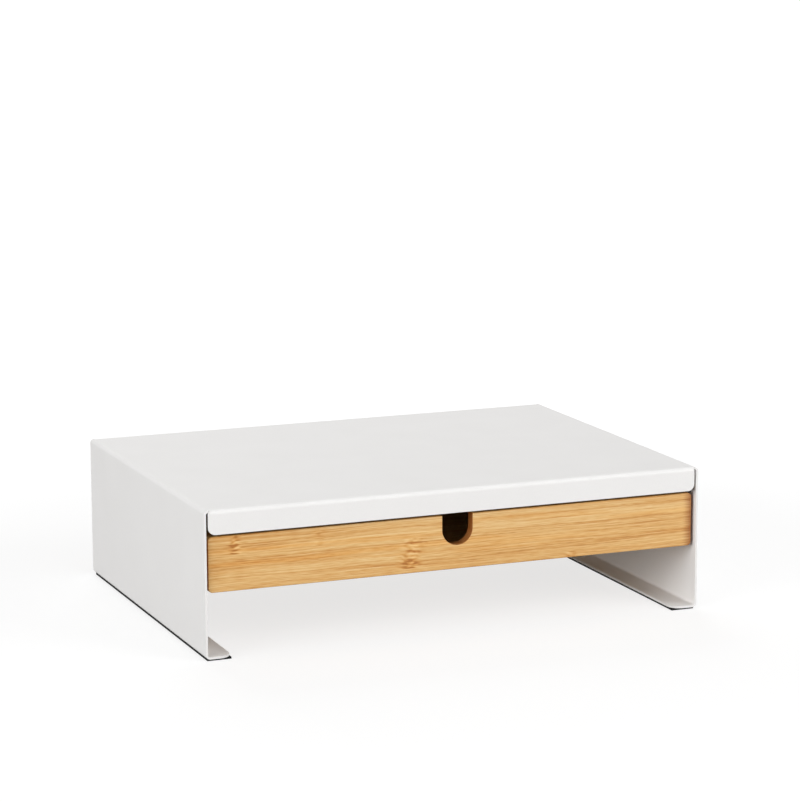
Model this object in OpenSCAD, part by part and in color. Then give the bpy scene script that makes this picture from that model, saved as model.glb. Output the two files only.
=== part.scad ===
// Monitor stand with a drawer: a bridge folded from one steel sheet on two foot strips, and a
// bamboo drawer that hangs in it on two steel runners.
// Millimetres. +Z is up, the drawer opens towards -Y, and the origin is on the desk under the
// middle of the stand.

/* [Stand] */
// Width over the two side walls
stand_width = 370; // [300:1:480]
// Depth from the face of the front lip to the face of the back lip
stand_depth = 270; // [200:1:340]
// Height from the desk to the top face
stand_height = 104; // [80:1:160]
// Thickness of the folded sheet
sheet = 1.5; // [1:0.1:2.5]
// Inside radius of the folds in the sheet
inside_fold = 1.5; // [0.5:0.1:3]
// Height of the front and back lips, from the top face to their lower edge
lip_height = 17; // [12:0.5:26]
// Radius of the lower corners of the lips
lip_corner = 5; // [1:0.5:7]
// Width of the flange turned in under each side wall
flange_width = 19; // [14:0.5:30]
// Radius of the free corners of the flanges
flange_corner = 9; // [1:0.5:10]

/* [Foot strips] */
// Thickness of the rubber strip under each flange
foot_strip = 1.5; // [1:0.1:4]
// Margin between the free edge of the flange and the inner edge of its strip
foot_margin = 0.25; // [0.25:0.25:3]
// Distance of the strip's outer edge from the outer face of the wall
foot_outer_margin = 1.5; // [0.5:0.25:4]
// Distance of the strip's ends from the ends of the flange
foot_end_margin = 2; // [0.5:0.25:8]

/* [Runners] */
// Thickness of the runner's steel
runner_sheet = 1.5; // [1:0.1:2]
// Inside radius of the folds in the runner
runner_inside_fold = 1; // [0.5:0.1:1.5]
// Height of the runner's leg on the side wall
runner_leg = 12; // [8:0.5:14]
// Reach of the runner's shelf from the side wall
runner_reach = 8.5; // [7:0.5:10]
// Depth of the shelf's upper face below the top edge of the drawer side
runner_drop = 12; // [10:0.5:14]
// Height of the closing stop that is turned up at the back end
closing_stop = 11; // [8:0.5:12]
// Height of the pull-out stop that is turned down at the front end
pull_stop = 5.5; // [4.5:0.5:7]
// Distance from the back end of the runner to the back face of the stand
runner_back_margin = 3; // [2:0.5:30]
// Thickness of the rubber pad on the closing stop
stop_pad = 1.5; // [1:0.1:4]

/* [Drawer front] */
// Height of the drawer front
front_height = 38.5; // [37:0.5:60]
// Thickness of the drawer front
front_thickness = 8.5; // [8:0.5:16]
// Radius of the corners in the drawer front's outline
front_corner = 3; // [2:0.25:5]
// Radius of the eased edges round the drawer front's face
front_edge = 0.75; // [0.25:0.25:1.5]
// Width of the finger notch
notch_width = 23; // [16:1:40]
// Depth of the finger notch from the top edge of the drawer front
notch_depth = 21.5; // [12:0.5:27]

/* [Drawer box] */
// Step from the top edge of the drawer front down to the top edge of the sides
side_top_step = 0.5; // [0.5:0.5:4]
// Step from the lower edge of the drawer front up to the lower edge of the sides
side_low_step = 0.5; // [0:0.5:3]
// Thickness of the drawer sides
side_thickness = 12; // [10:0.5:16]
// Thickness of the drawer back
back_thickness = 10; // [8:0.5:16]
// Thickness of the board in the bottom of the drawer
board_thickness = 4; // [3:0.5:6]
// Height of the board's lower face above the lower edge of the sides
board_rise = 4; // [2:0.5:6]
// Depth of the groove that holds the board
board_groove = 4.5; // [3:0.5:6]
// Length of each drawer side that stays behind the stop screw
side_tail = 48.5; // [30:0.5:90]

/* [Fasteners] */
// Diameter of the dowels
dowel_diameter = 6; // [4:0.5:7]
// Depth of the dowels in the drawer front
dowel_in_front = 5.5; // [4:0.5:7]
// Depth of the dowels in the drawer sides
dowel_in_side = 18; // [12:1:30]
// Diameter of the screws
screw_diameter = 3.5; // [3:0.1:4]
// Diameter of the countersunk heads
screw_head = 7; // [6:0.1:8]
// Length of the screws from the sides into the back
back_screw_length = 30; // [22:1:40]
// Length of the screws from the board into the back
board_screw_length = 16; // [12:1:22]
// Distance of the outer board screws from the ends of the back screws
board_screw_inset = 22; // [8:1:60]

/* [Fits] */
// Gap between the lower edge of the front lip and the drawer front
front_top_gap = 2; // [0.5:0.25:4]
// Gap between the drawer front and each side wall
front_side_gap = 2; // [0.5:0.25:2.5]
// Distance of the drawer front behind the front lip's face
front_recess = 3; // [0:0.5:12]
// Gap between the drawer side and the runner's leg
side_gap = 1.5; // [0.5:0.25:2.5]
// Gap between the runner's shelf and the ceiling of its groove
running_gap = 0.2; // [0.1:0.05:0.5]
// Gap between the runner and the inner end and the floor of its groove
groove_gap = 0.6; // [0.4:0.1:1]
// Gap between a stop and what it stops
stop_gap = 0.2; // [0.1:0.05:0.5]
// Gap round dowels, screws and the board in their holes and grooves
joint_gap = 0.1; // [0.05:0.05:0.2]

/* [Hidden] */
$fn = 64;

steel_white = [0.90, 0.89, 0.87];
rubber_black = [0.09, 0.09, 0.10];
rubber_grey = [0.22, 0.22, 0.23];
bamboo = [0.84, 0.66, 0.40];
bamboo_pale = [0.87, 0.73, 0.50];
beech = [0.80, 0.66, 0.48];
zinc = [0.72, 0.73, 0.74];

// Overshoot of the cuts, so that none ends on a face
over = 1;

// Stand
fold = sheet + inside_fold;
half_width = stand_width / 2;
wall_face = half_width - sheet;
flat_half = half_width - fold;
front_y = -stand_depth / 2;
back_y = stand_depth / 2;
fold_height = stand_height - fold;
lip_edge = stand_height - lip_height;

// Heights in the drawer
front_top = lip_edge - front_top_gap;
front_low = front_top - front_height;
side_low = front_low + side_low_step;
side_top = front_top - side_top_step;
board_low = side_low + board_rise;
board_top = board_low + board_thickness;
shelf_top = side_top - runner_drop;
shelf_low = shelf_top - runner_sheet;
groove_low = shelf_top - pull_stop - groove_gap;
groove_top = shelf_top + running_gap;
low_joint = (board_top + joint_gap + groove_low) / 2;
high_joint = (groove_top + side_top) / 2;
stop_screw_z = (groove_low + shelf_low) / 2;

// Widths in the drawer
front_width = 2 * (wall_face - front_side_gap);
box_half = wall_face - runner_sheet - side_gap;
tray_half = box_half - side_thickness;
shelf_tip = wall_face - runner_reach;
groove_end = shelf_tip - groove_gap;
board_width = 2 * (tray_half + board_groove - joint_gap);

// Places along the drawer's travel
front_face = front_y + front_recess;
front_back = front_face + front_thickness;
runner_front = front_back + stop_gap;
runner_back = back_y - runner_back_margin;
side_end = runner_back - runner_sheet - stop_pad - stop_gap;
back_y_middle = side_end - back_thickness / 2;
stop_screw_y = side_end - side_tail;
// How far the drawer opens before its stop screws meet the runners
drawer_travel = stop_screw_y - screw_diameter / 2 - (runner_front + runner_sheet) - stop_gap;
echo(drawer_travel = drawer_travel);

runner_fold = runner_sheet + runner_inside_fold;

// Quarter of a ring in the first quadrant: the section of a fold
module quarter_ring(outer, inner) {
    intersection() {
        difference() {
            circle(outer);
            circle(inner);
        }
        square(outer);
    }
}

// Flat tab below y = 0 whose two free corners are round
module tab_outline(width, reach, corner) {
    translate([-width / 2, corner - reach]) square([width, reach - corner]);
    translate([corner - width / 2, -reach]) square([width - 2 * corner, reach]);
    for (side = [-1, 1])
        translate([side * (width / 2 - corner), corner - reach]) circle(corner);
}

// Block between two opposite corners
module block(low, high) {
    translate(low) cube(high - low);
}

// Fold along Y whose outside faces +X and +Z, from y_low to y_high
module fold_along_y(y_low, y_high, outer, inner) {
    translate([0, y_high, 0]) rotate([90, 0, 0]) linear_extrude(y_high - y_low) quarter_ring(outer, inner);
}

// Fold along X whose outside faces -Y and +Z, from x_low to x_high
module fold_along_x(x_low, x_high, outer, inner) {
    translate([x_low, 0, 0]) rotate([90, 0, 90]) linear_extrude(x_high - x_low)
        mirror([1, 0]) quarter_ring(outer, inner);
}

// The piece and its mirror image on the other side of the stand
module both_sides() {
    children();
    mirror([1, 0, 0]) children();
}

// Right wall of the shell with its two folds and its flange
module shell_wall() {
    block([wall_face, front_y, foot_strip + fold], [half_width, back_y, fold_height]);
    translate([flat_half, 0, fold_height]) fold_along_y(front_y, back_y, fold, inside_fold);
    translate([flat_half, 0, foot_strip + fold]) mirror([0, 0, 1])
        fold_along_y(front_y, back_y, fold, inside_fold);
    translate([flat_half, 0, foot_strip]) linear_extrude(sheet) rotate(-90)
        tab_outline(stand_depth, flange_width - fold, flange_corner);
}

// Front lip with its fold
module shell_lip() {
    translate([0, front_y + fold, fold_height]) fold_along_x(-flat_half, flat_half, fold, inside_fold);
    translate([0, front_y + sheet, fold_height]) rotate([90, 0, 0]) linear_extrude(sheet)
        tab_outline(2 * flat_half, lip_height - fold, lip_corner);
}

// Top, walls, flanges and lips, folded from one sheet
module stand_shell() {
    color(steel_white) union() {
        block([-flat_half, front_y + fold, stand_height - sheet], [flat_half, back_y - fold, stand_height]);
        both_sides() shell_wall();
        shell_lip();
        mirror([0, 1, 0]) shell_lip();
    }
}

// Strip under the right flange
module foot_strip_right() {
    color(rubber_black)
        block(
            [half_width - flange_width + foot_margin, front_y + foot_end_margin, 0],
            [half_width - foot_outer_margin, back_y - foot_end_margin, foot_strip]
        );
}

// Shelf on a leg, with the pull-out stop turned down in front and the closing stop turned up behind
module runner_right() {
    shelf_front = runner_front + runner_fold;
    shelf_back = runner_back - runner_fold;
    shelf_edge = wall_face - runner_fold;
    color(steel_white) union() {
        block([shelf_tip, shelf_front, shelf_low], [shelf_edge, shelf_back, shelf_top]);
        translate([shelf_edge, 0, shelf_low + runner_fold]) mirror([0, 0, 1])
            fold_along_y(shelf_front, shelf_back, runner_fold, runner_inside_fold);
        block(
            [wall_face - runner_sheet, shelf_front, shelf_low + runner_fold],
            [wall_face, shelf_back, shelf_low + runner_leg]
        );
        translate([0, shelf_front, shelf_top - runner_fold])
            fold_along_x(shelf_tip, shelf_edge, runner_fold, runner_inside_fold);
        block(
            [shelf_tip, runner_front, shelf_top - pull_stop],
            [shelf_edge, runner_front + runner_sheet, shelf_top - runner_fold]
        );
        translate([0, shelf_back, shelf_low + runner_fold]) rotate([180, 0, 0])
            fold_along_x(shelf_tip, shelf_edge, runner_fold, runner_inside_fold);
        block(
            [shelf_tip, runner_back - runner_sheet, shelf_low + runner_fold],
            [shelf_edge, runner_back, shelf_low + closing_stop]
        );
    }
}

// Pad on the flat of the closing stop
module stop_pad_right() {
    pad_back = runner_back - runner_sheet;
    color(rubber_grey)
        block(
            [shelf_tip, pad_back - stop_pad, shelf_low + runner_fold],
            [wall_face - runner_fold, pad_back, shelf_low + closing_stop]
        );
}

// Countersunk screw from z = 0 down, with a cross in its head
module screw(length) {
    head_depth = (screw_head - screw_diameter) / 2;
    tip = screw_diameter / 2;
    cross_width = screw_diameter / 4;
    cross_span = screw_head * 0.55;
    difference() {
        union() {
            translate([0, 0, -head_depth]) cylinder(h = head_depth, d1 = screw_diameter, d2 = screw_head);
            translate([0, 0, tip - length]) cylinder(h = length - tip, d = screw_diameter);
            translate([0, 0, -length]) cylinder(h = tip, d1 = screw_diameter / 4, d2 = screw_diameter);
        }
        for (turn = [0, 90])
            rotate(turn) translate([-cross_span / 2, -cross_width / 2, -head_depth * 0.8])
                cube([cross_span, cross_width, head_depth]);
    }
}

// Hole for the screw, deeper than the screw by the overshoot
module screw_hole(length) {
    hole_diameter = screw_diameter + 2 * joint_gap;
    head_depth = (screw_head - screw_diameter) / 2;
    translate([0, 0, -length - over]) cylinder(h = length + 2 * over, d = hole_diameter);
    translate([0, 0, -head_depth])
        cylinder(h = head_depth, d1 = hole_diameter, d2 = screw_head + 2 * joint_gap);
}

// Puts a child at each screw of the right side: head on the outer face, pointing in
module at_back_screws() {
    for (z = [low_joint, high_joint])
        translate([box_half, back_y_middle, z]) rotate([0, 90, 0]) children();
}

// Puts a child at the right stop screw: head on the inner face, pointing out
module at_stop_screw() {
    translate([tray_half, stop_screw_y, stop_screw_z]) rotate([0, -90, 0]) children();
}

// Puts a child at each screw under the board
module at_board_screws() {
    outer = box_half - back_screw_length - board_screw_inset;
    for (x = [-outer, 0, outer])
        translate([x, back_y_middle, board_low]) rotate([180, 0, 0]) children();
}

// Puts a child at each dowel of the right side, on the back face of the front, along the drawer
module at_dowels() {
    for (z = [low_joint, high_joint])
        translate([box_half - side_thickness / 2, front_back, z]) rotate([-90, 0, 0]) children();
}

module dowel() {
    bevel = dowel_diameter / 8;
    end_diameter = dowel_diameter - 2 * bevel;
    translate([0, 0, -dowel_in_front]) cylinder(h = bevel, d1 = end_diameter, d2 = dowel_diameter);
    translate([0, 0, bevel - dowel_in_front])
        cylinder(h = dowel_in_front + dowel_in_side - 2 * bevel, d = dowel_diameter);
    translate([0, 0, dowel_in_side - bevel]) cylinder(h = bevel, d1 = dowel_diameter, d2 = end_diameter);
}

module dowel_hole() {
    translate([0, 0, -dowel_in_front - joint_gap])
        cylinder(h = dowel_in_front + dowel_in_side + 2 * joint_gap, d = dowel_diameter + 2 * joint_gap);
}

// Round corner of the panel, with its back on z = 0 and its eased edge below
module panel_corner() {
    rotate_extrude() intersection() {
        tab_outline(2 * front_corner, front_thickness, front_edge);
        translate([0, -front_thickness]) square([front_corner, front_thickness]);
    }
}

// Panel with round corners, an eased edge round its face and a square edge round its back
module front_panel() {
    middle_z = (front_low + front_top) / 2;
    flat_width = front_width - 2 * front_corner;
    flat_height = front_height - 2 * front_corner;
    translate([0, front_back, middle_z - flat_height / 2]) linear_extrude(flat_height)
        tab_outline(front_width, front_thickness, front_edge);
    translate([-flat_width / 2, front_back, middle_z]) rotate([0, 90, 0]) linear_extrude(flat_width)
        tab_outline(front_height, front_thickness, front_edge);
    for (x = [-1, 1], z = [-1, 1])
        translate([x * flat_width / 2, front_back, middle_z + z * flat_height / 2]) rotate([-90, 0, 0])
            panel_corner();
}

// Finger notch with a round bottom, open at the top
module finger_notch() {
    notch_middle = front_top - notch_depth + notch_width / 2;
    cut_length = front_thickness + 2 * over;
    translate([0, front_back + over, notch_middle]) rotate([90, 0, 0])
        cylinder(h = cut_length, d = notch_width);
    block(
        [-notch_width / 2, front_face - over, notch_middle],
        [notch_width / 2, front_back + over, front_top + over]
    );
}

module drawer_front() {
    color(bamboo) difference() {
        front_panel();
        finger_notch();
        block(
            [-board_width / 2 - joint_gap, front_back - board_groove, board_low - joint_gap],
            [board_width / 2 + joint_gap, front_back + over, board_top + joint_gap]
        );
        both_sides() at_dowels() dowel_hole();
    }
}

module drawer_side_right() {
    color(bamboo_pale) difference() {
        block([tray_half, front_back, side_low], [box_half, side_end, side_top]);
        block([groove_end, front_back - over, groove_low], [box_half + over, side_end + over, groove_top]);
        block(
            [tray_half - over, front_back - over, board_low - joint_gap],
            [tray_half + board_groove, side_end + over, board_top + joint_gap]
        );
        at_dowels() dowel_hole();
        at_back_screws() screw_hole(back_screw_length);
        at_stop_screw() screw_hole(side_thickness);
    }
}

module drawer_back() {
    color(bamboo_pale) difference() {
        block([-tray_half, side_end - back_thickness, board_top], [tray_half, side_end, side_top]);
        both_sides() at_back_screws() screw_hole(back_screw_length);
        at_board_screws() screw_hole(board_screw_length);
    }
}

// Board that slides in from behind, below the back
module drawer_bottom() {
    board_front = front_back - board_groove + joint_gap;
    color(bamboo) difference() {
        block([-board_width / 2, board_front, board_low], [board_width / 2, side_end, board_top]);
        at_board_screws() screw_hole(board_screw_length);
    }
}

module front_dowels() {
    color(beech) both_sides() at_dowels() dowel();
}

module back_screws() {
    color(zinc) both_sides() at_back_screws() screw(back_screw_length);
}

module bottom_screws() {
    color(zinc) at_board_screws() screw(board_screw_length);
}

// Their tips end inside the runner grooves, just short of the sides' outer faces
module stop_screws() {
    color(zinc) both_sides() at_stop_screw() screw(side_thickness - groove_gap);
}

module right_foot_strip() foot_strip_right();
module left_foot_strip() mirror([1, 0, 0]) foot_strip_right();
module right_runner() runner_right();
module left_runner() mirror([1, 0, 0]) runner_right();
module right_stop_pad() stop_pad_right();
module left_stop_pad() mirror([1, 0, 0]) stop_pad_right();
module drawer_right_side() drawer_side_right();
module drawer_left_side() mirror([1, 0, 0]) drawer_side_right();

stand_shell();
left_foot_strip();
right_foot_strip();
left_runner();
right_runner();
left_stop_pad();
right_stop_pad();
drawer_front();
drawer_left_side();
drawer_right_side();
drawer_back();
drawer_bottom();
front_dowels();
back_screws();
bottom_screws();
stop_screws();
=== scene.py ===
# %% [markdown]
# # A monitor stand with a bamboo drawer
# The real stand is one steel sheet that is cut flat, folded into a bridge and powder coated in an
# off-white. A bamboo drawer hangs under its top on two steel runners, and a black rubber strip lies
# under each foot. The construction comes from a frame of plain solids in metres. This lesson gives
# each piece its fine shape and its finish, right where its solid lies. We load the solids first and
# keep the box that they fill.

# %% Load the frame
import math

import bmesh
import bpy
from mathutils import Matrix, Vector


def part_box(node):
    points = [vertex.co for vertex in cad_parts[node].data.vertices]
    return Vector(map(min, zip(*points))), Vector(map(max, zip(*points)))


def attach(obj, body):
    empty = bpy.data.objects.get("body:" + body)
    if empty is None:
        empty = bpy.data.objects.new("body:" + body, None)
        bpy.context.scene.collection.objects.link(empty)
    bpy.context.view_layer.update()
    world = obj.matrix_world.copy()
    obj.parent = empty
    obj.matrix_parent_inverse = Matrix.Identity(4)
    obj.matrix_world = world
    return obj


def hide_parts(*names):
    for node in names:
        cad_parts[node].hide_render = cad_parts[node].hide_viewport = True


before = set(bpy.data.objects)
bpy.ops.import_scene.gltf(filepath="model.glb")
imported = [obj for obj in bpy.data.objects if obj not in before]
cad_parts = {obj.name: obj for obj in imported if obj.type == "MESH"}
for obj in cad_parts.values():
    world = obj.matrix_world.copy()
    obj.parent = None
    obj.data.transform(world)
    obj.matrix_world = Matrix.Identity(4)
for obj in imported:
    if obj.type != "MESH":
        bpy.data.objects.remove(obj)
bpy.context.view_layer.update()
print("solids in the frame:", ", ".join(sorted(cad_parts)))

# %% [markdown]
# ## The camera
# The picture shows the stand from the front left, a little above its top, through a long lens, so
# its edges hardly run together. A camera could be dragged about until the edges match. The straight
# edges of the stand are enough to work its place out instead, so the camera is written down as a
# place in metres, three turns in degrees and a focal length in pixels of the picture.

# %% Place the camera
picture_height = 802
focal_length_pixels = 2992.5
camera_place = Vector((-0.7914, -1.9898, 0.5384))
turn_right = math.radians(21.955)
tilt_down = math.radians(10.482)
lean = math.radians(0.234)

bpy.ops.object.select_all(action="DESELECT")
bpy.ops.object.camera_add()
camera = bpy.context.object
camera.name = "studio_camera"
camera.matrix_world = (
    Matrix.Translation(camera_place)
    @ Matrix.Rotation(-turn_right, 4, "Z")
    @ Matrix.Rotation(math.pi / 2 - tilt_down, 4, "X")
    @ Matrix.Rotation(-lean, 4, "Z")
)
camera.data.lens = focal_length_pixels * camera.data.sensor_width / picture_height
bpy.context.scene.camera = camera
bpy.context.scene.view_settings.view_transform = "Standard"
print(f"camera {camera_place.length:.2f} m from the stand, lens {camera.data.lens:.0f} mm")

# %% [markdown]
# ## Tools for the bench
# By hand we would click on the edges to work on. A script has no hand, so it picks vertices, edges
# and faces by where their middle lies. Two more tools bend and pull what is picked: folding is a
# spin of an edge about the axis of the bend, and pulling is a straight extrusion. With these three
# a flat sheet can be shaped in the order in which a press brake would bend it.

# %% Pick, fold and pull
same_place = 1e-5
fold_steps = 8


def near(a, b):
    """True if two coordinates are the same place."""
    return abs(a - b) < same_place


def pick(kind, test):
    """Selects the vertices, edges or faces whose middle passes the test, and counts them."""
    bpy.ops.mesh.select_mode(type=kind)
    bpy.ops.mesh.select_all(action="DESELECT")
    mesh = bmesh.from_edit_mesh(bpy.context.object.data)
    found = 0
    for part in {"VERT": mesh.verts, "EDGE": mesh.edges, "FACE": mesh.faces}[kind]:
        corners = [part] if kind == "VERT" else part.verts
        if test(sum((v.co for v in corners), Vector()) / len(corners)):
            part.select_set(True)
            found += 1
    mesh.select_flush_mode()
    bmesh.update_edit_mesh(bpy.context.object.data)
    return found


def fold(centre, axis):
    """Bends the picked edges through a quarter turn about an axis through the centre."""
    bpy.ops.mesh.spin(steps=fold_steps, angle=-math.pi / 2, center=centre, axis=axis)


def pull(x=0, y=0, z=0):
    """Extrudes what is picked along a straight line."""
    bpy.ops.mesh.extrude_region_move(TRANSFORM_OT_translate={"value": (x, y, z)})


print(f"every fold is bent in {fold_steps} steps")

# %% [markdown]
# ## Starting a piece
# Most pieces start as a plain plate or block, and two far corners say all about it: the size is the
# way from one to the other, and the place is the middle between them. The scale is applied at once,
# so that every later measure is in metres. The bench is cleared before each start, because an
# operator works on all that is selected.

# %% Open a plate or a block
def open_piece(name, size):
    """Gives the new primitive its name and size, and opens it for editing."""
    piece = bpy.context.object
    piece.name = piece.data.name = name
    piece.scale = size
    bpy.ops.object.transform_apply(location=True, rotation=True, scale=True)
    bpy.ops.object.mode_set(mode="EDIT")
    return piece


def clear_bench():
    """Leaves edit mode and lets go of everything."""
    if bpy.context.object and bpy.context.object.mode == "EDIT":
        bpy.ops.object.mode_set(mode="OBJECT")
    bpy.ops.object.select_all(action="DESELECT")


def on_bench(piece):
    """Makes one piece the only one that is selected and active."""
    clear_bench()
    piece.select_set(True)
    bpy.context.view_layer.objects.active = piece


def open_plate(name, low, high):
    """A flat level plate between two corners, open for editing."""
    clear_bench()
    bpy.ops.mesh.primitive_plane_add(size=1, location=(low + high) / 2)
    return open_piece(name, (high.x - low.x, high.y - low.y, 1))


def open_upright(name, low, high):
    """A flat upright plate at the front of the space between two corners, open for editing."""
    clear_bench()
    middle = (low + high) / 2
    middle.y = low.y
    bpy.ops.mesh.primitive_plane_add(size=1, location=middle, rotation=(math.pi / 2, 0, 0))
    return open_piece(name, (high.x - low.x, high.z - low.z, 1))


def open_block(name, low, high):
    """A block between two corners, open for editing."""
    clear_bench()
    bpy.ops.mesh.primitive_cube_add(size=1, location=(low + high) / 2)
    return open_piece(name, high - low)


print("bench ready")

# %% [markdown]
# ## Finishing a piece
# Every piece ends the same way. Its modifiers are applied, its round stretches are shaded smooth
# while its corners stay crisp, and its normals are weighted by area, so that a wide flat face keeps
# its flat shading right up to a fold. Then it rides on the body that carries it and stands for its
# solid, which is hidden.

# %% Finish and fit
smooth_below = math.radians(40)


def mm(metres):
    """A length in millimetres."""
    return 1000 * metres


def apply_modifier(kind, **settings):
    """Adds one modifier to the piece on the bench and applies it."""
    bpy.ops.object.mode_set(mode="OBJECT")
    modifier = bpy.context.object.modifiers.new(kind.lower(), kind)
    for name, value in settings.items():
        setattr(modifier, name, value)
    bpy.ops.object.modifier_apply(modifier=modifier.name)


def fit(piece, body, node):
    """Shades the piece, ties it to its body and lets it stand for its solid."""
    on_bench(piece)
    bpy.ops.object.shade_smooth_by_angle(angle=smooth_below)
    apply_modifier("WEIGHTED_NORMAL", keep_sharp=True)
    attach(piece, body)
    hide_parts(node)
    size = [round(mm(side), 1) for side in piece.dimensions]
    print(f"{piece.name}: {len(piece.data.polygons)} faces, {size} mm")


print(f"edges of less than {math.degrees(smooth_below):.0f} degrees are shaded smooth")

# %% [markdown]
# ## The folded sheet: the flat top
# The body of the stand is a single 1.5 mm sheet with 3 mm outer bends. We could subtract boxes from
# a block, but the folds would then need rounding by hand. So we start like the sheet shop: with the
# flat that stays flat, the top without its bends. Everything else grows from its four edges.

# %% Lay down the flat top
sheet_low, sheet_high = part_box("stand_shell")
sheet_thickness = 0.0015
bend_radius = 0.003
half_width = sheet_high.x
half_depth = sheet_high.y
top = sheet_high.z
underside = sheet_low.z
flat_half_width = half_width - bend_radius
flat_half_depth = half_depth - bend_radius

stand_sheet = open_plate(
    "stand_sheet",
    Vector((-flat_half_width, -flat_half_depth, top)),
    Vector((flat_half_width, flat_half_depth, top)),
)
print(f"flat top {mm(2 * flat_half_width):.0f} x {mm(2 * flat_half_depth):.0f} mm, {mm(top):.0f} mm high")

# %% [markdown]
# ## The folded sheet: lips, walls and flanges
# The front and back edges turn down into short lips that stiffen the top. The side edges turn down
# into the walls, and the walls turn in again at the bottom into the flanges that stand on the desk.
# Each bend is one spin of an edge, and each flat after it is one pull. The lips are only as wide as
# the flat top, so a narrow slit stays open between each lip and the walls, as on the real sheet.

# %% Fold the lips, the walls and the flanges
lip_height = 0.017
flange_width = 0.019
lip_edge = top - lip_height
flange_edge = half_width - flange_width

for side in (-1, 1):
    edge = side * flat_half_depth
    pick("EDGE", lambda p: near(p.y, edge))
    fold(centre=(0, edge, top - bend_radius), axis=(-side, 0, 0))
    pull(z=bend_radius - lip_height)

for side in (-1, 1):
    edge = side * flat_half_width
    pick("EDGE", lambda p: near(p.x, edge) and near(p.y, 0))
    fold(centre=(edge, 0, top - bend_radius), axis=(0, side, 0))
    pull(z=underside - top + 2 * bend_radius)
    fold(centre=(edge, 0, underside + bend_radius), axis=(0, side, 0))
    pull(x=side * (bend_radius - flange_width))

for side in (-1, 1):
    edge = side * flat_half_depth
    count = pick("EDGE", lambda p: near(p.y, edge) and abs(p.x) > flange_edge)
    pull(y=side * bend_radius)
print(f"walls lengthened over the bends along {count} edges at each end")

# %% [markdown]
# ## The folded sheet: corners and thickness
# A cut sheet has no sharp free corners: those of the lips and of the flanges are round. On a flat
# face a vertex bevel rounds a corner in one step, but only where no seam is in its way, so seams
# between faces in one plane are dissolved first. The normals are then made to agree, because the
# thickness grows inwards from the outer skin. Last, a small bevel breaks the cut edges, where the
# coating gathers on the real sheet.

# %% Round the corners and give the sheet its thickness
lip_corner = 0.005
flange_corner = 0.009
broken_edge = 0.0003
broken_steps = 2
same_plane = math.radians(1)
even_wall = {
    "solidify_mode": "NON_MANIFOLD",
    "nonmanifold_thickness_mode": "CONSTRAINTS",
    "nonmanifold_boundary_mode": "FLAT",
}


def close_skin(towards):
    """Merges the seams of an open skin and turns its widest face the given way, the rest with it."""
    bpy.ops.mesh.select_all(action="SELECT")
    bpy.ops.mesh.remove_doubles(threshold=same_place)
    bpy.ops.mesh.normals_make_consistent(inside=False)
    faces = bmesh.from_edit_mesh(bpy.context.object.data).faces
    widest = max(faces, key=lambda face: face.calc_area())
    if widest.normal.dot(towards) < 0:
        bpy.ops.mesh.flip_normals()


def thicken_skin():
    """Gives a folded skin its thickness, inwards from its outer side, and breaks the cut edges."""
    apply_modifier("SOLIDIFY", thickness=sheet_thickness, offset=-1, **even_wall)
    cut_edges = {"limit_method": "ANGLE", "angle_limit": smooth_below}
    apply_modifier("BEVEL", width=broken_edge, segments=broken_steps, **cut_edges)


bpy.ops.mesh.select_all(action="SELECT")
bpy.ops.mesh.remove_doubles(threshold=same_place)
bpy.ops.mesh.dissolve_limited(angle_limit=same_plane)
pick("VERT", lambda p: near(p.z, lip_edge) and near(abs(p.x), flat_half_width))
bpy.ops.mesh.bevel(offset=lip_corner, segments=fold_steps, affect="VERTICES")
pick("VERT", lambda p: near(p.z, underside) and near(abs(p.x), flange_edge))
bpy.ops.mesh.bevel(offset=flange_corner, segments=fold_steps, affect="VERTICES")
close_skin(towards=Vector((0, 0, 1)))
thicken_skin()
fit(stand_sheet, "stand", "stand_shell")

# %% [markdown]
# ## The foot strips
# A black rubber strip is glued under each flange, a little narrower than the flange. It keeps the
# steel off the desk and stops it from sliding. The strip is cut from sheet with a knife, so its
# corners stay square and its edges are only just broken: a block with a tiny bevel is what it is.
# We make the right one and mirror a copy for the left, as we do with every paired piece.

# %% Cut the foot strips
knife_edge = 0.00025


def mirrored_copy(piece, name):
    """A copy with its own mesh on the other side of the stand, turned right side out."""
    on_bench(piece)
    bpy.ops.object.duplicate(linked=False)
    copy = bpy.context.object
    copy.name = copy.data.name = name
    copy.scale.x = -1
    bpy.ops.object.transform_apply(location=False, rotation=False, scale=True)
    bpy.ops.object.mode_set(mode="EDIT")
    bpy.ops.mesh.select_all(action="SELECT")
    bpy.ops.mesh.normals_make_consistent(inside=False)
    bpy.ops.object.mode_set(mode="OBJECT")
    return copy


strip_right = open_block("foot_strip_right", *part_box("right_foot_strip"))
bpy.ops.mesh.bevel(offset=knife_edge, segments=broken_steps, affect="EDGES")
strip_left = mirrored_copy(strip_right, "foot_strip_left")
fit(strip_right, "stand", "right_foot_strip")
fit(strip_left, "stand", "left_foot_strip")

# %% [markdown]
# ## The runners
# Each runner is a small folded angle. Its leg is welded to the wall, and the drawer hangs on its
# shelf. The front end of the shelf turns down and stops the drawer that is pulled out. The back end
# turns up, carries a rubber pad and stops the drawer that is pushed in. It is folded like the big
# sheet, out of the lower skin of the shelf. The front end has that skin on the inside of its bend,
# so this bend takes the smaller radius.

# %% Fold the runners
runner_low, runner_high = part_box("right_runner")
runner_leg = 0.012
closing_stop = 0.011
runner_bend = 0.0025
inside_bend = runner_bend - sheet_thickness
shelf_skin = runner_high.z - runner_leg
shelf_low = Vector((runner_low.x, runner_low.y + runner_bend, shelf_skin))
shelf_high = Vector((runner_high.x - runner_bend, runner_high.y - runner_bend, shelf_skin))
shelf_middle = (shelf_low + shelf_high) / 2

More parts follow.
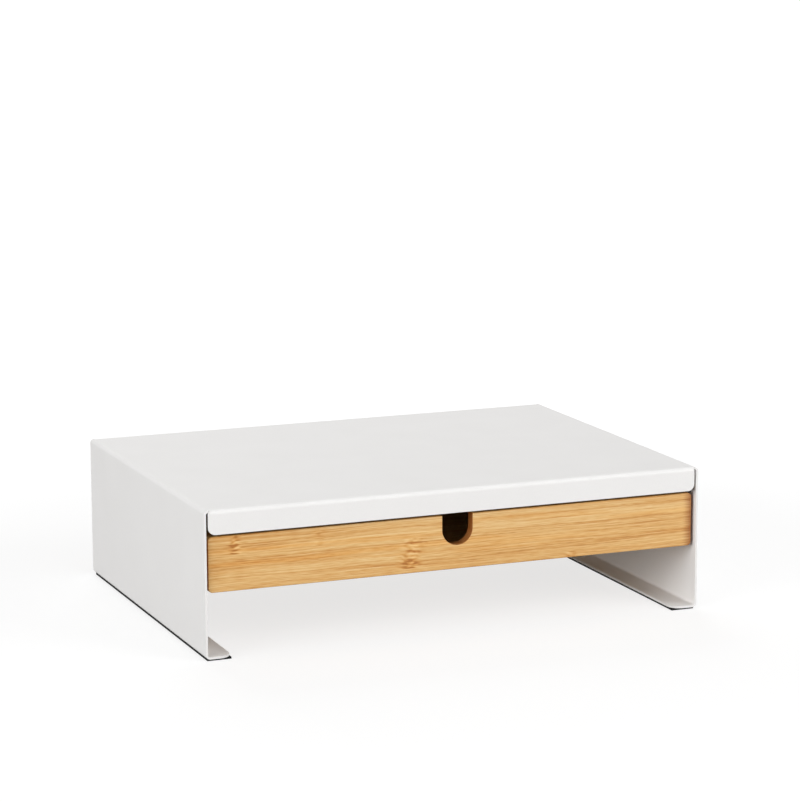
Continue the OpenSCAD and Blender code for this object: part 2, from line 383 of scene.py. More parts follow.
runner_right = open_plate("runner_right", shelf_low, shelf_high)
pick("EDGE", lambda p: near(p.x, shelf_high.x))
fold(centre=(shelf_high.x, 0, shelf_skin + runner_bend), axis=(0, -1, 0))
pull(z=runner_leg - runner_bend)
pick("EDGE", lambda p: near(p.y, shelf_low.y) and near(p.x, shelf_middle.x))
fold(centre=(0, shelf_low.y, shelf_skin - inside_bend), axis=(1, 0, 0))
pull(z=runner_low.z - shelf_skin + inside_bend)
pick("EDGE", lambda p: near(p.y, shelf_high.y) and near(p.x, shelf_middle.x))
fold(centre=(0, shelf_high.y, shelf_skin + runner_bend), axis=(1, 0, 0))
pull(z=closing_stop - runner_bend)
close_skin(towards=Vector((0, 0, -1)))
thicken_skin()
runner_left = mirrored_copy(runner_right, "runner_left")
fit(runner_right, "stand", "right_runner")
fit(runner_left, "stand", "left_runner")

# %% [markdown]
# ## A drill for the drawer
# The drawer is joined with dowels and screws, so its boards need holes, and a countersink for each
# screw head. Holes could be drawn into the faces, but a Boolean cut with a rod is what a drill does.
# The rod and the cone that cut are thrown away afterwards.

# %% Make the drill
round_sides = 48
clearance = 0.0001


def cut_with(piece, cutter):
    """Takes the cutter's volume out of the piece and throws the cutter away."""
    on_bench(piece)
    apply_modifier("BOOLEAN", object=cutter, operation="DIFFERENCE", solver="EXACT")
    bpy.data.objects.remove(cutter)


def drill(piece, place, direction, diameter, depth, head=0):
    """Drills from a place on a face, and sinks a cone for a screw head of that diameter."""
    turn = direction.to_track_quat("Z", "Y").to_euler()
    radius = diameter / 2 + clearance
    bpy.ops.object.select_all(action="DESELECT")
    bpy.ops.mesh.primitive_cylinder_add(
        vertices=round_sides, radius=radius, depth=2 * depth, location=place, rotation=turn
    )
    cut_with(piece, bpy.context.object)
    if head:
        sink = (head - diameter) / 2
        bpy.ops.object.select_all(action="DESELECT")
        bpy.ops.mesh.primitive_cone_add(
            vertices=round_sides, radius1=radius + 2 * sink, radius2=radius, depth=2 * sink,
            location=place, rotation=turn,
        )
        cut_with(piece, bpy.context.object)


print(f"the drill leaves {mm(clearance):.1f} mm of room around a peg")

# %% [markdown]
# ## The drawer front: board
# The front is a bamboo board with round corners and an eased edge round its face. Both are rounded
# on the plain block, where a bevel is clean: first the four edges that run from front to back, then
# those around the face, the new round corners among them.

# %% Shape the front board
front_low, front_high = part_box("drawer_front")
front_middle = (front_low + front_high) / 2
front_corner = 0.003
front_edge = 0.00075
edge_steps = 4

front_panel = open_block("front_panel", front_low, front_high)
pick("EDGE", lambda p: near(p.y, front_middle.y))
bpy.ops.mesh.bevel(offset=front_corner, segments=fold_steps, affect="EDGES")
pick("EDGE", lambda p: near(p.y, front_low.y))
bpy.ops.mesh.bevel(offset=front_edge, segments=edge_steps, affect="EDGES")
bpy.ops.object.mode_set(mode="OBJECT")
print(f"front board {mm(front_high.x - front_low.x):.0f} x {mm(front_high.z - front_low.z):.1f} mm")

# %% [markdown]
# ## The drawer front: notch
# The finger notch has a round bottom and is open at the top. An outline could be drawn and filled,
# but a cut keeps the round corners as they are. It is made with half a rod whose flat side is pulled
# up past the top of the board.

# %% Cut the notch
notch_radius = 0.0113
notch_depth = 0.0215
past = 0.002
notch_middle = Vector((0, front_middle.y, front_high.z - notch_depth + notch_radius))

bpy.ops.object.select_all(action="DESELECT")
bpy.ops.mesh.primitive_cylinder_add(
    vertices=2 * round_sides, radius=notch_radius, depth=front_high.y - front_low.y + 2 * past,
    location=notch_middle, rotation=(math.pi / 2, 0, 0),
)
notch_cutter = open_piece("notch_cutter", (1, 1, 1))
bpy.ops.mesh.select_all(action="SELECT")
bpy.ops.mesh.bisect(plane_co=notch_middle, plane_no=(0, 0, 1), clear_outer=True, use_fill=True)
pick("FACE", lambda p: near(p.z, notch_middle.z))
pull(z=front_high.z - notch_middle.z + past)
bpy.ops.object.mode_set(mode="OBJECT")
cut_with(front_panel, notch_cutter)
print(f"notch {mm(2 * notch_radius):.1f} mm wide and {mm(notch_depth):.1f} mm deep")

# %% [markdown]
# ## The drawer front: rim of the notch
# The rim of the notch is eased in front as little as sandpaper does, and more behind, where the
# finger hooks in. Two bevels would meet badly at the top. So each edge is told its share of the
# widest bevel, and one modifier cuts them all.

# %% Ease the rim of the notch
notch_rim = 0.0003
finger_rim = 0.0008
wall_play = 10 * same_place


def on_notch_wall(p):
    """True on the wall of the notch."""
    from_middle = Vector((p.x, 0, p.z - notch_middle.z)).length if p.z < notch_middle.z else abs(p.x)
    return abs(from_middle - notch_radius) < wall_play


def on_front_rim(p):
    """True where the wall of the notch meets the face or the top of the board."""
    at_top = p.z > front_high.z - front_edge and p.y < front_high.y - same_place
    return on_notch_wall(p) and (near(p.y, front_low.y) or at_top)


def on_finger_rim(p):
    """True where the wall of the notch meets the back of the board."""
    return on_notch_wall(p) and near(p.y, front_high.y)


bpy.ops.object.mode_set(mode="EDIT")
for rim, width in ((on_front_rim, notch_rim), (on_finger_rim, finger_rim)):
    rim_edges = pick("EDGE", rim)
    bpy.ops.transform.edge_bevelweight(value=width / finger_rim)
    print(f"notch rim eased by {mm(width):.1f} mm along {rim_edges} edges")
apply_modifier("BEVEL", width=finger_rim, segments=edge_steps, limit_method="WEIGHT")

# %% [markdown]
# ## The drawer front: joints
# Behind, the front has a groove for the bottom board and four holes for the dowels that hold the
# sides. None of it shows from the front, but a drawer that is pulled out and looked at from above or
# below is only right if its boards really fit into each other.

# %% Rout the groove and drill the dowel holes
board_low, board_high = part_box("drawer_bottom")
dowel_low, dowel_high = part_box("front_dowels")
dowel = 0.006
groove_room = Vector((clearance, clearance, clearance))

groove = open_block("groove_cutter", board_low - groove_room, board_high + groove_room)
bpy.ops.object.mode_set(mode="OBJECT")
cut_with(front_panel, groove)
dowel_heights = (dowel_low.z + dowel / 2, dowel_high.z - dowel / 2)
dowel_across = dowel_high.x - dowel / 2
for side in (-1, 1):
    for height in dowel_heights:
        place = Vector((side * dowel_across, front_high.y, height))
        drill(front_panel, place, Vector((0, -1, 0)), dowel, front_high.y - dowel_low.y)
fit(front_panel, "drawer", "drawer_front")

# %% [markdown]
# ## The drawer sides: grooves
# A side is a bamboo board with two long grooves: the runner's shelf goes into the outer one, and the
# bottom board into the inner one. We cut a flat end view along the lines of the grooves, take out
# the two groove fields and pull the rest to full length, as a spindle moulder would feed it. The
# upper edges and the lower outer one are eased before the holes are drilled, while all edges are
# still long and plain.

# %% Mould a side
side_low, side_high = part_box("drawer_right_side")
running_gap = 0.0002
groove_gap = 0.0006
runner_groove = (runner_low.z - groove_gap, shelf_skin + sheet_thickness + running_gap)
runner_groove_end = runner_low.x - groove_gap
board_groove = (board_low.z - clearance, board_high.z + clearance)
board_groove_end = board_high.x + clearance
hand_edge = 0.0008
hand_steps = 3

side_right = open_upright("side_board_right", side_low, side_high)
for height in (*runner_groove, *board_groove):
    bpy.ops.mesh.select_all(action="SELECT")
    bpy.ops.mesh.bisect(plane_co=(0, 0, height), plane_no=(0, 0, 1))
for across in (runner_groove_end, board_groove_end):
    bpy.ops.mesh.select_all(action="SELECT")
    bpy.ops.mesh.bisect(plane_co=(across, 0, 0), plane_no=(1, 0, 0))
pick("FACE", lambda p: runner_groove[0] < p.z < runner_groove[1] and p.x > runner_groove_end)
bpy.ops.mesh.delete(type="FACE")
pick("FACE", lambda p: board_groove[0] < p.z < board_groove[1] and p.x < board_groove_end)
bpy.ops.mesh.delete(type="FACE")
bpy.ops.mesh.select_all(action="SELECT")
bpy.ops.mesh.dissolve_limited(angle_limit=same_plane)
bpy.ops.mesh.select_all(action="SELECT")
pull(y=side_high.y - side_low.y)
bpy.ops.mesh.select_all(action="SELECT")
bpy.ops.mesh.normals_make_consistent(inside=False)
pick("EDGE", lambda p: near(p.z, side_high.z) or near(p.z, side_low.z) and near(p.x, side_high.x))
bpy.ops.mesh.bevel(offset=hand_edge, segments=hand_steps, affect="EDGES")
bpy.ops.object.mode_set(mode="OBJECT")
print(f"side board {mm(side_high.y - side_low.y):.1f} mm long with two grooves")

# %% [markdown]
# ## The drawer sides: holes
# Each side is drilled for two dowels from the front, for two screws into the back board and, from
# inside the drawer, for the stop screw whose tip reaches into the runner's groove. The other side is
# a mirrored copy of the drilled one.

# %% Drill the sides
screw_low, screw_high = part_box("back_screws")
stop_low, stop_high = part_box("stop_screws")
screw = 0.0035
screw_head = 0.007
back_screw = 0.030

screw_places = [
    Vector((side_high.x, (screw_low.y + screw_high.y) / 2, height))
    for height in (screw_low.z + screw_head / 2, screw_high.z - screw_head / 2)
]
stop_place = Vector((side_low.x, (stop_low.y + stop_high.y) / 2, (stop_low.z + stop_high.z) / 2))
for height in dowel_heights:
    place = Vector((dowel_across, side_low.y, height))
    drill(side_right, place, Vector((0, 1, 0)), dowel, dowel_high.y - side_low.y)
for place in screw_places:
    drill(side_right, place, Vector((-1, 0, 0)), screw, back_screw, screw_head)
drill(side_right, stop_place, Vector((1, 0, 0)), screw, side_high.x - side_low.x + past, screw_head)
side_left = mirrored_copy(side_right, "side_board_left")
fit(side_right, "drawer", "drawer_right_side")
fit(side_left, "drawer", "drawer_left_side")

# %% [markdown]
# ## The drawer back and the bottom board
# The back stands between the sides on the bottom board, held by two screws from each side. The board
# slides into its grooves from behind, and three screws fix it to the back from below. Both start as
# blocks. The back's upper edges are eased by hand like those of the sides.

# %% Make the back and the bottom board
back_low, back_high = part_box("drawer_back")
fixing_low, fixing_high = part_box("bottom_screws")
board_screw = 0.016
board_edge = 0.0003

back_board = open_block("back_board", back_low, back_high)
pick("EDGE", lambda p: near(p.z, back_high.z) and near(p.x, 0))
bpy.ops.mesh.bevel(offset=hand_edge, segments=hand_steps, affect="EDGES")
bottom_board = open_block("bottom_board", board_low, board_high)
pick("EDGE", lambda p: p.y > board_low.y + same_place)
bpy.ops.mesh.bevel(offset=board_edge, segments=broken_steps, affect="EDGES")
bpy.ops.object.mode_set(mode="OBJECT")

for side in (-1, 1):
    for place in screw_places:
        opening = Vector((side * back_high.x, place.y, place.z))
        reach = back_screw - side_high.x + back_high.x
        drill(back_board, opening, Vector((-side, 0, 0)), screw, reach)
for across in (fixing_low.x + screw_head / 2, 0, fixing_high.x - screw_head / 2):
    place = Vector((across, (fixing_low.y + fixing_high.y) / 2, board_low.z))
    drill(bottom_board, place, Vector((0, 0, 1)), screw, board_screw, screw_head)
    drill(back_board, place, Vector((0, 0, 1)), screw, board_screw)
fit(back_board, "drawer", "drawer_back")
fit(bottom_board, "drawer", "drawer_bottom")

# %% [markdown]
# ## Nets of nodes
# Finishes and light are made by small nets of nodes. Written out node by node, such a net is hard to
# follow, so a bench adds a node, feeds its sockets and hands back its result in one call. The same
# bench serves the finishes of the stand, the floor and the light of the room.

# %% Make the bench for nets
class NodeNet:
    """A net of nodes under construction."""

    def __init__(self, tree):
        self.tree = tree

    def feed(self, node, values):
        """Sets or links the sockets of a node."""
        for name, value in values.items():
            socket = node.inputs[name.replace("_", " ") if isinstance(name, str) else name]
            if isinstance(value, bpy.types.NodeSocket):
                self.tree.links.new(value, socket)
            else:
                socket.default_value = value

    def add(self, kind, values, result=0, **settings):
        """Adds a node and hands back one of its results."""
        node = self.tree.nodes.new("ShaderNode" + kind)
        for name, value in settings.items():
            setattr(node, name, value)
        self.feed(node, values)
        return node.outputs[result]

    def math(self, operation, *numbers):
        """One step of arithmetic."""
        return self.add("Math", dict(enumerate(numbers)), operation=operation)

    def split(self, vector):
        """The three parts of a vector."""
        return self.add("SeparateXYZ", {0: vector}).node.outputs

    def step(self, value, start, end, low=0, high=1, shape="SMOOTHSTEP"):
        """A step from low to high, soft unless another shape is asked for."""
        values = dict(enumerate((value, start, end, low, high)))
        return self.add("MapRange", values, interpolation_type=shape)

    def seen_directly(self):
        """One for camera, mirror and glass rays, and nothing for light that bounces."""
        path = self.tree.nodes.new("ShaderNodeLightPath").outputs
        seen = path["Is Camera Ray"]
        for ray in ("Is Glossy Ray", "Is Transmission Ray"):
            seen = self.math("MAXIMUM", seen, path[ray])
        return seen


print("bench for nets ready")

# %% [markdown]
# ## Mixing finishes
# A finish is a net with a shader at its end and patterns before it. What is the same all over a
# surface is set on the shader itself. Every pattern reads Object coordinates, turned into
# millimetres, so that its grain keeps its real size. Most patterns are noise. Its values gather
# around a half, so they are added up by how far they lie from it, and nearly all of them lie within
# the span that is named first.

# %% Make the bench for finishes
noise_span = (0.3, 0.7)


class Finish(NodeNet):
    """A finish under construction."""

    def __init__(self, name, **shader_values):
        self.material = bpy.data.materials.new(name)
        self.material.use_nodes = True
        super().__init__(self.material.node_tree)
        self.shader = self.tree.nodes["Principled BSDF"]
        self.feed(self.shader, shader_values)
        self.coordinates = self.tree.nodes.new("ShaderNodeTexCoord").outputs
        self.place = self.add("VectorMath", {0: self.coordinates["Object"], 3: mm(1)}, operation="SCALE")

    def noise(self, sizes, detail=2, origin=None):
        """Cloudy noise whose blots have the given size, or three sizes along the axes, in millimetres."""
        blot = sizes if isinstance(sizes, tuple) else (sizes, sizes, sizes)
        spread = self.add("VectorMath", {0: origin or self.place, 1: blot}, operation="DIVIDE")
        return self.add("TexNoise", {"Vector": spread, "Scale": 1, "Detail": detail})

    def total(self, first, *terms):
        """Adds up pairs of a value and its weight, where each value counts from a half."""
        for value, weight in terms:
            off_middle = self.math("SUBTRACT", value, 0.5)
            first = self.math("MULTIPLY_ADD", off_middle, weight, first)
        return first

    def ramp(self, value, colours):
        """Colours along a value, from a list of places and linear colours."""
        node = self.tree.nodes.new("ShaderNodeValToRGB")
        stops = node.color_ramp.elements
        while len(stops) < len(colours):
            stops.new(0.5)
        for stop, (position, colour) in zip(stops, colours):
            stop.position = position
            stop.color = (*colour, 1)
        self.feed(node, {0: value})
        return node.outputs[0]

    def mix(self, factor, first, second, blend_type="MIX"):
        """Mixes two colours. Sockets 6 and 7 of the node take them, and result 2 is a colour too."""
        colours = [(*c, 1) if isinstance(c, tuple) else c for c in (first, second)]
        values = {0: factor, 6: colours[0], 7: colours[1]}
        return self.add("Mix", values, result=2, data_type="RGBA", blend_type=blend_type)

    def relief(self, height, depth):
        """Turns a height from zero to one into a relief of that depth in millimetres."""
        normal = self.add("Bump", {"Strength": 1, "Distance": depth / mm(1), "Height": height})
        self.feed(self.shader, {"Normal": normal})

    def coat(self, *pieces):
        """Puts the finish on the pieces and prints their names."""
        for piece in pieces:
            if piece.material_slots:
                for held in piece.material_slots:
                    held.material = self.material
            else:
                piece.data.materials.append(self.material)
        print(f"{self.material.name} on {', '.join(piece.name for piece in pieces)}")


print("bench for finishes ready, with patterns measured in millimetres")

# %% [markdown]
# ## Powder coat
# The coat on the steel is an off-white baked powder: even from afar, with a very fine orange peel up
# close and a dull sheen, so that the folds hardly show a bright line. Two noises do it. One is as
# fine as the grains and gives the peel its relief, and a wider one lets the tone drift by about one
# part in a hundred.

# %% Mix the powder coat
peel_size = 0.55
peel_depth = 0.012
peel_force = 0.7
drift_size = 35
drift_force = 0.35
coat_roughness = (0.60, 0.70)
coat_colours = [(0.2, (0.823, 0.812, 0.800)), (0.8, (0.871, 0.862, 0.852))]

powder = Finish("powder_coat", IOR=1.5, Specular_IOR_Level=0.2)
grain = powder.noise(peel_size, detail=3)
drift = powder.noise(drift_size)
tone = powder.total(0.5, (grain, peel_force), (drift, drift_force))
powder.feed(powder.shader, {
    "Base Color": powder.ramp(tone, coat_colours),
    "Roughness": powder.step(grain, *noise_span, *coat_roughness),
})
powder.relief(grain, peel_depth)
powder.coat(stand_sheet, runner_left, runner_right)

# %% [markdown]
# ## Bamboo: strips
# The boards are pressed from flat bamboo strips that lie side by side and sway a little. A point on
# a board is therefore given a height across the swaying strips, in millimetres and counted in
# strips, and its fibres and seams are worked out from that. Each strip is pushed far along, so that
# no fibre runs on from one strip into the next.

# %% Lay the strips
X, Y, Z = 0, 1, 2
strip_width = 24.5
strip_push = 377
sway_width = 3
sway_sizes = (90, 30)


def stretched(along, length, width):
    """Sizes of a noise that is long in one direction only."""
    sizes = [width, width, width]
    sizes[along] = length
    return tuple(sizes)


def lay_strips(wood, axes, along, across, seam):
    """The height of a point across the swaying strips, in millimetres and counted in strips."""
    sway = wood.noise(stretched(along, *sway_sizes), detail=1)
    height = wood.total(axes[across], (sway, sway_width))
    return height, wood.math("DIVIDE", wood.math("SUBTRACT", height, seam), strip_width)


print(f"bamboo strips are {strip_width} mm wide")

# %% [markdown]
# ## Bamboo: knuckles
# Now and then a knuckle of the cane crosses a strip: a short ladder of pale and brown dashes with a
# warmer patch round it. A wave across the strip makes the rungs, and noise breaks them up into
# dashes. A soft band, cut off at the edges of the strip, then says where the ladder shows.

# %% Draw the knuckles
rung_gap = 3.1
rung_slant = 0.12
rung_waver = 12
rung_force = 0.5
waver_sizes = (9, 5, 5)
dash_sizes = (7, 1.4, 3)
dash_force = 3.0
dash_middle = 0.48
ladder_middle = 0.22
ragged_sizes = (6, 2.5, 3)
ragged_force = 1.5
strip_edge = 0.5


def knuckle_marks(wood, u, v, knuckles):
    """How far the knuckles lighten or darken the wood, in rungs across a strip, and where they are."""
    ragged = wood.noise(ragged_sizes, detail=1)
    dashes = wood.noise(dash_sizes, detail=1)
    waver = wood.noise(waver_sizes, detail=1)
    turns = wood.math("MULTIPLY", wood.math("MULTIPLY_ADD", u, rung_slant, v), 2 * math.pi / rung_gap)
    rungs = wood.math("SINE", wood.math("MULTIPLY_ADD", waver, rung_waver, turns))
    uneven = wood.math("MULTIPLY", wood.math("SUBTRACT", dashes, dash_middle), dash_force)
    ladder = wood.math("MULTIPLY_ADD", rungs, rung_force, uneven)
    force = 0.0
    for place, low, high, lean, width, strength in knuckles:
        middle = wood.math("MULTIPLY_ADD", wood.math("SUBTRACT", v, low), lean, place)
        off = wood.math("DIVIDE", wood.math("SUBTRACT", u, middle), width / 2)
        off = wood.total(off, (ragged, ragged_force))
        band = wood.math("EXPONENT", wood.math("MULTIPLY", wood.math("MULTIPLY", off, off), -1))
        above = wood.step(v, low - strip_edge, low + strip_edge)
        below = wood.step(v, high - strip_edge, high + strip_edge, 1, 0)
        inside = wood.math("MULTIPLY", band, wood.math("MULTIPLY", above, below))
        force = wood.math("MULTIPLY_ADD", inside, strength, force)
    return wood.math("MULTIPLY", wood.math("SUBTRACT", ladder, ladder_middle), force), force


print(f"the rungs of a knuckle are {rung_gap} mm apart")

# %% [markdown]
# ## Bamboo: cut ends
# Cut ends show the fibres head-on, soak up the lacquer and turn brown. The wall of the notch is
# browned as well. The brown creeps a little way along the fibres into the face, further along some
# than along others, so the same fibres fray its border.

# %% Stain the cut ends
fray = 5
facing_span = (0.6, 1.0)
end_strength = 0.85
notch_strength = 0.9
notch_creep = 0.3


def end_stain(wood, along, place, ends, soak, fibres):
    """Strong on faces across the fibres, and on all faces close to the two ends."""
    facing_end = wood.math("ABSOLUTE", wood.split(wood.coordinates["Normal"])[along])
    first_end = wood.math("SUBTRACT", place, ends[0])
    last_end = wood.math("SUBTRACT", ends[1], place)
    from_end = wood.math("MINIMUM", first_end, last_end)
    frayed = wood.total(from_end, *[(fibre, fray) for fibre in fibres])
    soaked = wood.step(frayed, 0, soak, end_strength, 0)
    return wood.math("MAXIMUM", wood.step(facing_end, *facing_span), soaked)


def notch_stain(wood, axes, height, radius):
    """Strong on the wall of a round notch that is open at the top, and gone just past its rim."""
    below = wood.math("MINIMUM", wood.math("SUBTRACT", axes[Z], height), 0)
    squares = wood.math("MULTIPLY_ADD", below, below, wood.math("POWER", axes[X], 2))
    return wood.step(wood.math("SQRT", squares), radius, radius + notch_creep, notch_strength, 0)


print(f"the stain of the notch creeps {notch_creep} mm into the face")

# %% [markdown]
# ## Bamboo: the recipe
# Long fine fibres, short flecks and lines run along each strip, soft bands of honey and orange lie
# over them, every strip has its own tone, and a thin line shows where two strips meet. All of it is
# noise that is stretched along the board, so one recipe serves every board, given its direction and
# its ends. The sizes of each mark run along, across and through the board, and the seam is a share
# of a strip.

# %% Write the bamboo recipe
fine_fibres = (42, 0.42, 0.42)
short_flecks = (9, 0.6, 0.6)
long_lines = (300, 1.2, 1.2)
wide_bands = (220, 7, 7)
honey_bands = (180, 5, 9)
honey_push = (911, 57, 13)
honey_span = (0.45, 0.72)
honey_strength = 0.9
honey_tint = (1.0, 0.87, 0.66)
soaked_brown = (0.45, 0.25, 0.145)
seam_share = 0.02
seam_shade = -0.12
base_tone = 0.52
fine_force = 0.95
fleck_force = 0.6
line_force = 0.75
band_force = 0.75
strip_force = 0.08
fibre_depth = 0.05
fine_relief = 0.8
line_relief = 0.4
lacquer_roughness = (0.52, 0.40)
fibre_colours = [
    (0.00, (0.420, 0.170, 0.040)),
    (0.28, (0.610, 0.300, 0.085)),
    (0.50, (0.716, 0.420, 0.152)),
    (0.72, (0.790, 0.530, 0.240)),
    (1.00, (0.870, 0.635, 0.325)),
]


def bamboo(name, along, across, ends, seam, knuckles, soak=3.0, notch=None):
    """Bamboo whose fibres run along one axis and whose strips lie side by side along another.
    The lacquer soaks in at the two ends. Each knuckle is its place along, lower and upper edge,
    lean, width and strength, and a notch is the height of its middle and its radius."""
    wood = Finish(name, IOR=1.45, Specular_IOR_Level=0.4)
    axes = wood.split(wood.place)
    u, through = axes[along], axes[3 - along - across]
    v, strips_up = lay_strips(wood, axes, along, across, seam)
    strip = wood.math("FLOOR", strips_up)
    strip_tone = wood.add("TexWhiteNoise", {"W": strip}, noise_dimensions="1D")
    flow = wood.add("CombineXYZ", {0: wood.math("MULTIPLY_ADD", strip, strip_push, u), 1: v, 2: through})

    fine = wood.noise(fine_fibres, origin=flow)
    flecks = wood.noise(short_flecks, detail=1, origin=flow)
    lines = wood.noise(long_lines, origin=flow)
    bands = wood.noise(wide_bands, origin=flow)
    fibres = ((fine, fine_force), (flecks, fleck_force), (lines, line_force))
    tone = wood.total(base_tone, *fibres, (bands, band_force), (strip_tone, strip_force))
    from_seam = wood.math("ABSOLUTE", wood.math("SUBTRACT", strips_up, wood.math("ROUND", strips_up)))
    tone = wood.math("ADD", tone, wood.step(from_seam, 0, seam_share, seam_shade, 0))
    marks, patch = knuckle_marks(wood, u, v, knuckles)
    colour = wood.ramp(wood.math("ADD", tone, marks), fibre_colours)

    honey = wood.noise(honey_bands, detail=1, origin=wood.add("VectorMath", {0: flow, 1: honey_push}))
    warmth = wood.math("MAXIMUM", wood.step(honey, *honey_span, 0, honey_strength), patch)
    colour = wood.mix(warmth, colour, honey_tint, "MULTIPLY")
    stain = end_stain(wood, along, u, ends, soak, (fine, lines))
    if notch:
        stain = wood.math("MAXIMUM", stain, notch_stain(wood, axes, *notch))
    colour = wood.mix(stain, colour, wood.mix(1.0, colour, soaked_brown, "MULTIPLY"))
    roughness = wood.step(fine, *noise_span, *lacquer_roughness)
    wood.feed(wood.shader, {"Base Color": colour, "Roughness": roughness})
    wood.relief(wood.total(0.5, (fine, fine_relief), (lines, line_relief)), fibre_depth)
    return wood


print(f"bamboo recipe written, with fibres {fine_fibres[1]} mm thick")

# %% [markdown]
# ## Bamboo on the boards
# The front is where the eye rests, so its knuckles are put where the real board has them, and only
# its right end is browned, further in than the ends of the other boards: the end that counts for
# the left one lies past the board. The other boards get one knuckle each, every one in another place.

# %% Put bamboo on the boards
past_left_end = -195.0
front_seam = 71.0
# the right end of the front is browned over this many millimetres
front_brown_length = 8.0
front_knuckles = [
    (-162.5, 72.0, 87.0, 0.05, 6.5, 0.70),
    (-36.0, 50.0, 71.0, 0.22, 14.0, 0.60),
    (85.0, 46.0, 51.0, 0.3, 8.0, 0.40),
    (-104.0, 72.0, 84.0, 0.1, 8.0, 0.20),
]
front_ends = (past_left_end, mm(front_high.x))
side_ends = (mm(side_low.y), mm(side_high.y))
back_ends = (mm(back_low.x), mm(back_high.x))
bottom_ends = (mm(board_low.x), mm(board_high.x))
notch_place = (mm(notch_middle.z), mm(notch_radius))

front_bamboo = bamboo("bamboo_front", X, Z, front_ends, front_seam, front_knuckles, front_brown_length, notch_place)
front_bamboo.coat(front_panel)
for name, board, along, across, ends, seam, knuckle in (
    ("bamboo_left", side_left, Y, Z, side_ends, 60.0, (-40.0, 60.0, 84.5, 0.1, 11.0, 0.55)),
    ("bamboo_right", side_right, Y, Z, side_ends, 64.0, (35.0, 47.0, 64.0, -0.1, 11.0, 0.55)),
    ("bamboo_back", back_board, X, Z, back_ends, 62.0, (70.0, 62.0, 84.5, 0.1, 11.0, 0.55)),
    ("bamboo_bottom", bottom_board, X, Y, bottom_ends, 3.0, (-60.0, 27.5, 52.0, 0.1, 11.0, 0.50)),
):
    bamboo(name, along, across, ends, seam, [knuckle]).coat(board)

# %% [markdown]
# ## Rubber
# The strips and the stop pads are rubber: nearly black or grey, dull, with a fine tooth. The strips
# are our own pieces, and the pads are small solids of the frame that have the right shape already,
# so they only get their finish.

# %% Mix the rubber
tooth_size = 0.4
tooth_depth = 0.03
tooth_force = 0.9
smear_size = 9
smear_force = 0.7
rubber_roughness = (0.72, 0.86)
stop_pads = (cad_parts["left_stop_pad"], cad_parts["right_stop_pad"])

for name, dark, light, pieces in (
    ("foot_rubber", (0.006, 0.006, 0.006), (0.014, 0.014, 0.015), (strip_left, strip_right)),
    ("pad_rubber", (0.09, 0.09, 0.092), (0.15, 0.15, 0.153), stop_pads),
):
    rubber = Finish(name, IOR=1.5, Specular_IOR_Level=0.12)
    tooth = rubber.noise(tooth_size)
    smear = rubber.noise(smear_size)
    shade = rubber.total(0.5, (tooth, tooth_force), (smear, smear_force))
    rubber.feed(rubber.shader, {
        "Base Color": rubber.ramp(shade, [(0.2, dark), (0.8, light)]),
        "Roughness": rubber.step(smear, *noise_span, *rubber_roughness),
    })
    rubber.relief(tooth, tooth_depth)
    rubber.coat(*pieces)

# %% [markdown]
# ## Zinc and beech
# The screws are zinc plated, so they are metal with a faint cloudiness, and the dowels are plain
# beech with small dark flecks along the peg. These are solids of the frame too.

# %% Mix the zinc and the beech
cloud_size = 1.2
peg_flecks = (0.5, 4, 0.5)
peg_depth = 0.05
zinc_roughness = (0.28, 0.42)
beech_roughness = (0.62, 0.50)
zinc_colours = [(0.3, (0.52, 0.53, 0.54)), (0.7, (0.66, 0.67, 0.67))]
beech_colours = [(0.35, (0.50, 0.30, 0.15)), (0.65, (0.66, 0.45, 0.26))]

zinc = Finish("zinc_plate", Metallic=1.0)
cloud = zinc.noise(cloud_size, detail=3)
zinc.feed(zinc.shader, {
    "Base Color": zinc.ramp(cloud, zinc_colours),
    "Roughness": zinc.step(cloud, *noise_span, *zinc_roughness),
})
zinc.coat(*[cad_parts[name] for name in ("back_screws", "bottom_screws", "stop_screws")])

beech = Finish("beech_peg", IOR=1.45)
flecks = beech.noise(peg_flecks)
beech.feed(beech.shader, {
    "Base Color": beech.ramp(flecks, beech_colours),
    "Roughness": beech.step(flecks, *noise_span, *beech_roughness),
})
beech.relief(flecks, peg_depth)
beech.coat(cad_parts["front_dowels"])

# %% [markdown]
# ## The floor
# The picture stands on plain white. The floor is a pale sheet. For the eye and for reflections it
# also glows a little, just enough to meet the white of the background, so that no horizon shows and
# the soft shadow of the stand stays. Light that bounces does not see the glow, so the space under
# the drawer stays as dim as it really is.

# %% Lay the floor
floor_size = 60
floor_tone = 0.30
floor_glow = 0.74
shadow_reach = (350, 1200)

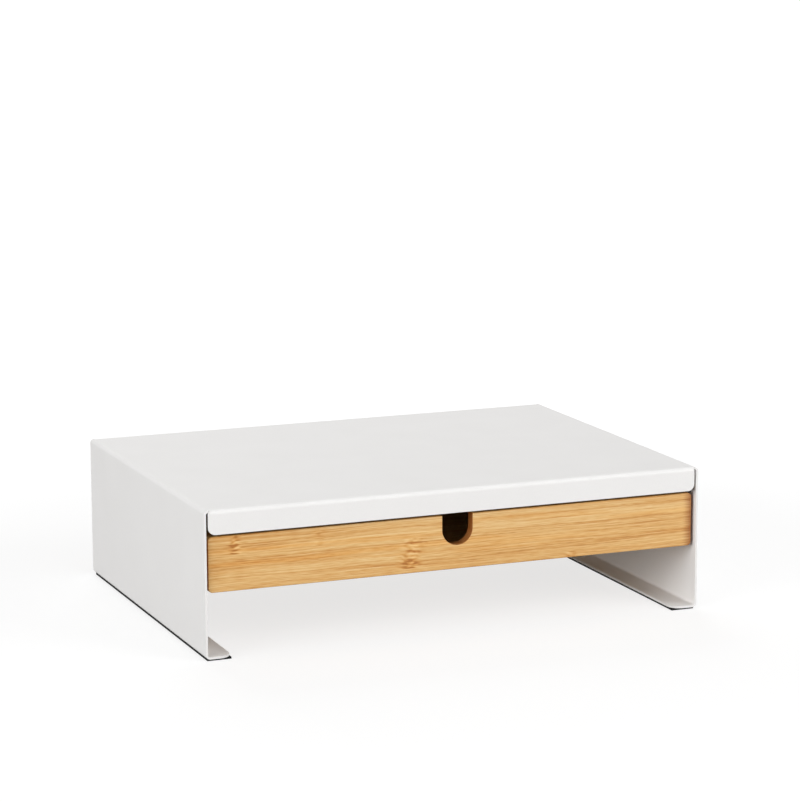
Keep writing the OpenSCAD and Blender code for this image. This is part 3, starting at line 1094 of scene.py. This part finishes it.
bpy.ops.object.select_all(action="DESELECT")
bpy.ops.mesh.primitive_plane_add(size=floor_size)
floor = bpy.context.object
floor.name = "floor"
paper = Finish("studio_floor", Roughness=1.0, Specular_IOR_Level=0.0)
distance = paper.add("VectorMath", {0: paper.place}, result="Value", operation="LENGTH")
paper.feed(paper.shader, {
    "Base Color": (floor_tone, floor_tone, floor_tone, 1),
    "Emission Color": paper.step(distance, *shadow_reach, floor_glow, 1),
    "Emission Strength": paper.seen_directly(),
})
paper.coat(floor)

# %% [markdown]
# ## The room
# Apart from the lamps, the room itself gives soft light, more from the front than from behind, with
# an even change between two bearings. That is why the inside of the walls darkens towards the back.
# The eye and reflections see plain white instead, which is the backdrop of the picture.

# %% Light the room
room_front = 0.58
room_back = 0.18
room_turn = (-0.6, 0.6)

world = bpy.data.worlds.new("studio")
bpy.context.scene.world = world
world.use_nodes = True
studio = NodeNet(world.node_tree)
bearing = studio.tree.nodes.new("ShaderNodeTexCoord").outputs["Generated"]
room_light = studio.step(studio.split(bearing)[Y], *room_turn, room_front, room_back, "LINEAR")
studio.feed(studio.tree.nodes["Background"], {
    "Color": (1, 1, 1, 1),
    "Strength": studio.step(studio.seen_directly(), 0, 1, room_light, 1, "LINEAR"),
})
print(f"room light {room_front} in front and {room_back} behind")

# %% [markdown]
# ## The lamps
# The light in the picture is broad and even. The front is brightest, the top and the left wall are a
# shade darker, and the space under the drawer falls off quickly. Three large soft lamps do this: a
# key on the front right, a fill on the front left and a quieter one behind. The two in front hang low
# and the top takes its light from behind, because a fold that faces a high lamp would glare. Each
# lamp is given the brightness that it should add to a white card held square to it, and its power
# follows from its distance.

# %% Set up the lamps
lamp_distance = 4.0
lamp_size = 2.4


def hang_lamp(name, direction, brightness):
    """A square soft lamp that faces the middle of the stand."""
    away = Vector(direction).normalized()
    bpy.ops.object.select_all(action="DESELECT")
    bpy.ops.object.light_add(
        type="AREA", location=away * lamp_distance, rotation=away.to_track_quat("Z", "Y").to_euler()
    )
    lamp = bpy.context.object
    lamp.name = name
    lamp.data.shape = "SQUARE"
    lamp.data.size = lamp_size
    lamp.data.energy = brightness * (math.pi * lamp_distance) ** 2
    lamp.visible_camera = False
    print(f"{name}: {lamp.data.energy:.0f} W at {lamp_distance} m")


hang_lamp("key_lamp", (0.63, -0.70, 0.33), 0.57)
hang_lamp("left_lamp", (-0.89, -0.40, 0.20), 0.72)
hang_lamp("back_lamp", (0.10, 0.80, 0.60), 0.36)
